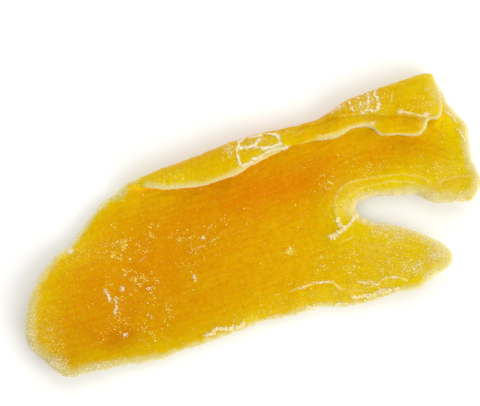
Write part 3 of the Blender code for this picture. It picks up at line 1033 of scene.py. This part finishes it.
def fruit_material(settings):
    """Moist flesh under its covers: pale rim, bloom, torn skin and frost, darkened in
    patches by painted shade.
    """
    finish = Finish("mango_flesh")
    patchy, fine, crumbs, grain = (finish.noise(finish.place, *kind) for kind in
                                   (PATCHY_NOISE, FINE_NOISE, CRUMB_NOISE, GRAIN_NOISE))
    uneven = finish.worked_out("MULTIPLY_ADD", fine, FINE_SHARE,
                               finish.worked_out("MULTIPLY", patchy, PATCHY_SHARE))
    bloom = finish.worked_out("MULTIPLY", finish.attribute("bloom"), BLOOM_SHOWS)
    broken = finish.worked_out("ADD", fine, SKIN_HOLDS)
    covers = {
        "pale": ("ADD", finish.attribute("pale"), uneven, settings.rim),
        "edge": ("ADD", finish.attribute("edge"), uneven, settings.skin_sugar),
        "bloom": ("ADD", bloom, fine, settings.bloom),
        "skin": ("MULTIPLY", finish.attribute("skin"), broken, settings.skin_sugar),
        "frost": ("ADD", finish.attribute("frost"), crumbs, settings.skin_sugar),
    }
    colour = flesh_colour(finish, settings)
    hides = {}
    for name, (operation, first, second, over) in covers.items():
        start, end, most = COVERS[name]
        field = finish.eased(finish.worked_out(operation, first, second), start, end)
        hides[name] = finish.worked_out("MULTIPLY", field, most)
        colour = finish.mixed(hides[name], colour, over)
    dots = finish.worked_out("MULTIPLY", finish.specks(*SPECKS), SPECKS_SHOW)
    colour = finish.mixed(dots, colour, settings.bloom)
    # Painted shade: the flesh is mixed towards black where its patches lie
    painted_shade = finish.worked_out("MULTIPLY", finish.attribute("painted_shade"), settings.painted_shade_strength)
    rough = finish.worked_out("MULTIPLY_ADD", grain, GRAIN_ROUGHENS,
                              settings.roughness - GRAIN_BEGINS_BELOW)
    frosted = finish.worked_out("MULTIPLY", hides["frost"], FROST_ROUGHNESS)
    height = finish.worked_out("MULTIPLY_ADD", dots, SPECKS_STAND_OUT, grain)
    height = finish.worked_out("MULTIPLY_ADD", hides["frost"], crumbs, height)
    bump = finish.node("ShaderNodeBump",
                       {"Height": height, "Strength": 0.5, "Distance": 0.09 * MM})
    finish.give(finish.surface.inputs, {
        "Base Color": finish.mixed(painted_shade, colour, BLACK),
        "Roughness": finish.worked_out("MAXIMUM", rough, frosted),
        "Normal": bump.outputs[0],
        "IOR": 1.33,
        "Specular IOR Level": 0.16,
        "Specular Tint": (1.0, 0.76, 0.05),
        "Subsurface Weight": 0.70,
        "Subsurface Radius": (1.9, 1.3, 0.35),
        "Subsurface Scale": 0.9 * MM,
    })
    return finish.material


def sugar_material(name, colour, yellows, shine):
    """Dried sugar, whose colour is multiplied by yellows in places."""
    finish = Finish(name)
    varied = finish.eased(finish.noise(finish.place, *SUGAR_NOISE), *SUGAR_VARIES)
    yellowed = tuple(value * share for value, share in zip(colour, yellows))
    grain = finish.noise(finish.place, *SUGAR_GRAIN_NOISE)
    finish.give(finish.surface.inputs, {
        "Base Color": finish.mixed(varied, colour, yellowed),
        "Roughness": finish.worked_out("MULTIPLY_ADD", grain, *SUGAR_ROUGHNESS),
        "Specular IOR Level": shine,
        "Subsurface Weight": 0.3,
        "Subsurface Radius": (1.0, 0.8, 0.4),
        "Subsurface Scale": 0.3 * MM,
    })
    return finish.material


def floor_material(colour):
    """A matt floor with the faintest clouds."""
    finish = Finish("pale_floor")
    varied = finish.noise(finish.place, *FLOOR_NOISE)
    softer = tuple(value * FLOOR_CLOUDS for value in colour)
    finish.give(finish.surface.inputs, {
        "Base Color": finish.mixed(varied, colour, softer),
        "Roughness": 0.9,
        "Specular IOR Level": 0.1,
    })
    return finish.material


# Sugar pieces

def shape_of(form):
    """A bmesh of triangles as arrays of corners and faces. The bmesh is freed."""
    corners = np.array([corner.co[:] for corner in form.verts])
    faces = np.array([[corner.index for corner in face.verts] for face in form.faces])
    form.free()
    return corners, faces


def crystal_shapes(points, draw):
    """Blunt crystals about 1 across, each of its own form, with few faces."""
    shapes = []
    for _ in range(CRYSTAL_KINDS):
        crystal = bmesh.new()
        for point in draw.normal(size=(points, 3)):
            crystal.verts.new(Vector(point).normalized() / 2)
        bmesh.ops.convex_hull(crystal, input=crystal.verts[:])
        bmesh.ops.triangulate(crystal, faces=crystal.faces[:])
        bmesh.ops.recalc_face_normals(crystal, faces=crystal.faces[:])
        crystal.verts.index_update()
        shapes.append(shape_of(crystal))
    return shapes


def lump_shapes(draw):
    """Knobbly lumps about 1 across."""
    shapes = []
    for _ in range(LUMP_KINDS):
        lump = bmesh.new()
        bmesh.ops.create_icosphere(lump, subdivisions=2, radius=0.5)
        apart = Vector(draw.uniform(0, LUMP_NOISE_SPAN, 3))
        for corner in lump.verts:
            knob = noise.noise(corner.co * LUMP_KNOB_FREQUENCY + apart)
            corner.co *= 1 + LUMP_KNOBS * knob
        shapes.append(shape_of(lump))
    return shapes


def joined_copies(name, shapes, which, centres, axes):
    """One mesh of many copies: each has a shape, a centre and three axes of its own."""
    corners, faces, total = [], [], 0
    for index, (shape_corners, shape_faces) in enumerate(shapes):
        mine = np.flatnonzero(which == index)
        placed = np.einsum("kj,nij->nki", shape_corners, axes[mine])
        placed += centres[mine][:, None]
        placed[..., 2] = np.maximum(placed[..., 2], 0.0)
        starts = total + np.arange(len(mine)) * len(shape_corners)
        corners.append(placed.reshape(-1, 3))
        faces.append((shape_faces[None] + starts[:, None, None]).reshape(-1, 3))
        total += len(mine) * len(shape_corners)
    mesh = bpy.data.meshes.new(name)
    mesh.from_pydata(np.concatenate(corners).tolist(), [], np.concatenate(faces).tolist())
    return mesh


def random_spots(mesh, density, count, draw):
    """Random places on a mesh and the normals there, more of them where it is dense."""
    mesh.calc_loop_triangles()
    corners = np.empty(len(mesh.loop_triangles) * 3, np.int32)
    mesh.loop_triangles.foreach_get("vertices", corners)
    corners = corners.reshape(-1, 3)
    first, second, third = (coordinates(mesh)[corners[:, k]] for k in range(3))
    crossed = np.cross(second - first, third - first)
    area = np.linalg.norm(crossed, axis=1)
    weight = area * density[corners].mean(axis=1)
    picked = draw.choice(len(weight), size=count, p=weight / weight.sum())
    u, v = draw.random((2, count))
    over = u + v > 1
    u[over], v[over] = 1 - u[over], 1 - v[over]
    centres = (first[picked] + u[:, None] * (second - first)[picked]
               + v[:, None] * (third - first)[picked])
    return centres, crossed[picked] / area[picked][:, None]


def axes_on(normals, along, sizes):
    """Three axes for each copy: one near along, one across it, one near the normal."""
    along = along - (along * normals).sum(axis=1)[:, None] * normals
    along /= np.linalg.norm(along, axis=1)[:, None]
    across = np.cross(normals, along)
    return np.stack([along, across, normals], axis=2) * sizes[:, None, :]


def tilted(normals, by, draw):
    """The normals, each leaning its own way."""
    leaning = normals + draw.normal(scale=by, size=normals.shape)
    return leaning / np.linalg.norm(leaning, axis=1)[:, None]


def strewn(name, fruit, density, count, size, shapes, draw):
    """Copies of some shapes strewn over the fruit, each nearly half sunk into it."""
    centres, normals = random_spots(fruit, density, count, draw)
    spread = np.exp(draw.normal(scale=SIZES_SPREAD, size=(count, 1)))
    sizes = size * np.minimum(spread, LARGEST) * draw.uniform(*SIDES_DIFFER, (count, 3))
    axes = axes_on(tilted(normals, LEAN, draw), draw.normal(size=(count, 3)), sizes)
    centres = centres + normals * sizes[:, 2:] * draw.uniform(*CENTRE_ABOVE, (count, 1))
    which = draw.integers(len(shapes), size=count)
    return joined_copies(name, shapes, which, centres, axes)


def add_piece(name, mesh, material):
    """Links a finished piece of the slice and says what it is to the frame."""
    mesh.materials.append(material)
    piece = bpy.data.objects.new(name, mesh)
    bpy.context.scene.collection.objects.link(piece)
    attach(piece, "root")
    return piece


def fruit_surface():
    """The finished fruit's mesh, which the sugar is set on."""
    fruit = bpy.data.objects.get(FRUIT)
    if fruit is None:
        raise RuntimeError("Make the fruit first: the sugar is set on it")
    return fruit.data


class MANGO_OT_fruit(bpy.types.Operator):
    """Makes the fruit in place of the plain solid"""
    bl_idname = "mango.fruit"
    bl_label = "Make fruit"

    def execute(self, context):
        settings = context.scene.mango_fruit
        fruit = add_piece(FRUIT, fruit_mesh(settings), fruit_material(settings))
        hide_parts(NODE)
        return {"FINISHED"}


class MANGO_OT_crystals(bpy.types.Operator):
    """Strews loose sugar crystals over the face of the fruit"""
    bl_idname = "mango.crystals"
    bl_label = "Strew crystals"

    def execute(self, context):
        sugar = context.scene.mango_sugar
        fruit = fruit_surface()
        draw = np.random.default_rng(sugar.seed)
        mesh = strewn("sugar_crystals", fruit, read_attribute(fruit, "crystals"),
                      sugar.crystals, sugar.crystal_size,
                      crystal_shapes(CRYSTAL_POINTS, draw), draw)
        material = sugar_material("clear_sugar", sugar.clear, CLEAR_YELLOWS, CLEAR_SHINE)
        add_piece("sugar_crystals", mesh, material)
        return {"FINISHED"}


class MANGO_OT_frost(bpy.types.Operator):
    """Covers the frosted places with fine grains of sugar"""
    bl_idname = "mango.frost"
    bl_label = "Add frost"

    def execute(self, context):
        sugar = context.scene.mango_sugar
        fruit = fruit_surface()
        draw = np.random.default_rng(sugar.seed + 1)
        frost = read_attribute(fruit, "frost")
        density = np.maximum(frost - FROST_FROM, 0) ** FROST_GATHERS
        density += FROST_ON_RIM * read_attribute(fruit, "pale")
        bloom = np.maximum(read_attribute(fruit, "bloom") - BLOOM_EVERYWHERE, 0)
        density += FROST_IN_BLOOM * bloom
        mesh = strewn("sugar_frost", fruit, density, sugar.frost_grains,
                      sugar.frost_size, crystal_shapes(FROST_POINTS, draw), draw)
        material = sugar_material("white_sugar", sugar.white, FROST_YELLOWS, WHITE_SHINE)
        add_piece("sugar_frost", mesh, material)
        return {"FINISHED"}


class MANGO_OT_crust(bpy.types.Operator):
    """Builds up the crust beside the fork and along the lower edge, and the finer
    threads of the net, the streaks and the torn skin"""
    bl_idname = "mango.crust"
    bl_label = "Build up crust"

    def execute(self, context):
        sugar = context.scene.mango_sugar
        fruit = fruit_surface()
        draw = np.random.default_rng(sugar.seed + 2)
        for kind, colour, count, size in (
                ("crust", sugar.cream, sugar.crust_lumps, sugar.crust_size),
                ("threads", sugar.white, sugar.thread_lumps, sugar.thread_size)):
            density = np.maximum(read_attribute(fruit, kind) - CRUST_FROM, 0)
            name = "sugar_" + kind
            mesh = strewn(name, fruit, density, count, size, lump_shapes(draw), draw)
            mesh.shade_smooth()
            material = sugar_material(kind + "_sugar", colour, CRUST_YELLOWS, WHITE_SHINE)
            add_piece(name, mesh, material)
        return {"FINISHED"}


# The stage

def add_floor(settings):
    """A wide floor just below the slice."""
    form = bmesh.new()
    bmesh.ops.create_grid(form, x_segments=1, y_segments=1, size=FLOOR_HALF_WIDTH)
    bmesh.ops.translate(form, verts=form.verts[:], vec=(0, 0, -FLOOR_BELOW))
    mesh = bpy.data.meshes.new("floor")
    form.to_mesh(mesh)
    form.free()
    mesh.materials.append(floor_material(settings.floor))
    floor = bpy.data.objects.new("floor", mesh)
    bpy.context.scene.collection.objects.link(floor)


def add_soft_light(name, place, size, power):
    """A square soft light that faces the slice."""
    lamp = bpy.data.lights.new(name, "AREA")
    lamp.shape = "SQUARE"
    lamp.size = size
    lamp.energy = power
    light = bpy.data.objects.new(name, lamp)
    light.location = place
    light.rotation_euler = Vector(place).to_track_quat("Z", "Y").to_euler()
    bpy.context.scene.collection.objects.link(light)


def add_surround(strength):
    """Even white light from all around."""
    world = bpy.data.worlds.new("surround")
    world.use_nodes = True
    background = world.node_tree.nodes["Background"]
    background.inputs["Color"].default_value = (1.0, 1.0, 1.0, 1.0)
    background.inputs["Strength"].default_value = strength
    bpy.context.scene.world = world


def add_camera(settings):
    """Looks straight down, turned so that the slice slants across the view."""
    lens = bpy.data.cameras.new("camera")
    lens.sensor_fit = "HORIZONTAL"
    lens.angle = 2 * math.atan(settings.view_width / 2 / settings.view_height)
    lens.clip_start = CLIP_START
    camera = bpy.data.objects.new("camera", lens)
    camera.location = Vector(VIEW_CENTRE) + UP * settings.view_height
    camera.rotation_euler = (0, 0, settings.view_turn)
    bpy.context.scene.collection.objects.link(camera)
    bpy.context.scene.camera = camera


class MANGO_OT_stage(bpy.types.Operator):
    """Adds the floor, the soft light and the camera"""
    bl_idname = "mango.stage"
    bl_label = "Set stage"

    def execute(self, context):
        settings = context.scene.mango_stage
        add_floor(settings)
        add_surround(settings.surround)
        add_soft_light("key_light", KEY_FROM, KEY_SIZE, settings.key_power)
        add_soft_light("fill_light", FILL_FROM, FILL_SIZE, settings.fill_power)
        add_camera(settings)
        context.scene.view_settings.view_transform = "Standard"
        return {"FINISHED"}


OPERATORS = (MANGO_OT_fruit, MANGO_OT_crystals, MANGO_OT_frost, MANGO_OT_crust,
             MANGO_OT_stage)
SETTINGS = {"mango_fruit": MangoFruitSettings, "mango_sugar": MangoSugarSettings,
            "mango_stage": MangoStageSettings}


class MANGO_PT_panel(bpy.types.Panel):
    """Lists the slice's settings and the pieces that can be made"""
    bl_label = "Candied mango slice"
    bl_space_type = "VIEW_3D"
    bl_region_type = "UI"
    bl_category = "Mango"

    def draw(self, context):
        for group in SETTINGS:
            box = self.layout.box()
            settings = getattr(context.scene, group)
            for name in settings.bl_rna.properties.keys():
                if name not in {"rna_type", "name"}:
                    box.prop(settings, name)
        for operator in OPERATORS:
            self.layout.operator(operator.bl_idname)


CLASSES = (*SETTINGS.values(), *OPERATORS, MANGO_PT_panel)


def register():
    for cls in CLASSES:
        bpy.utils.register_class(cls)
    for group, kind in SETTINGS.items():
        setattr(bpy.types.Scene, group, bpy.props.PointerProperty(type=kind))


def unregister():
    for group in SETTINGS:
        delattr(bpy.types.Scene, group)
    for cls in reversed(CLASSES):
        bpy.utils.unregister_class(cls)


def main():
    """Makes the pieces and the stage."""
    register()
    bpy.ops.mango.fruit()
    bpy.ops.mango.crystals()
    bpy.ops.mango.frost()
    bpy.ops.mango.crust()
    bpy.ops.mango.stage()


if __name__ == "__main__":
    main()
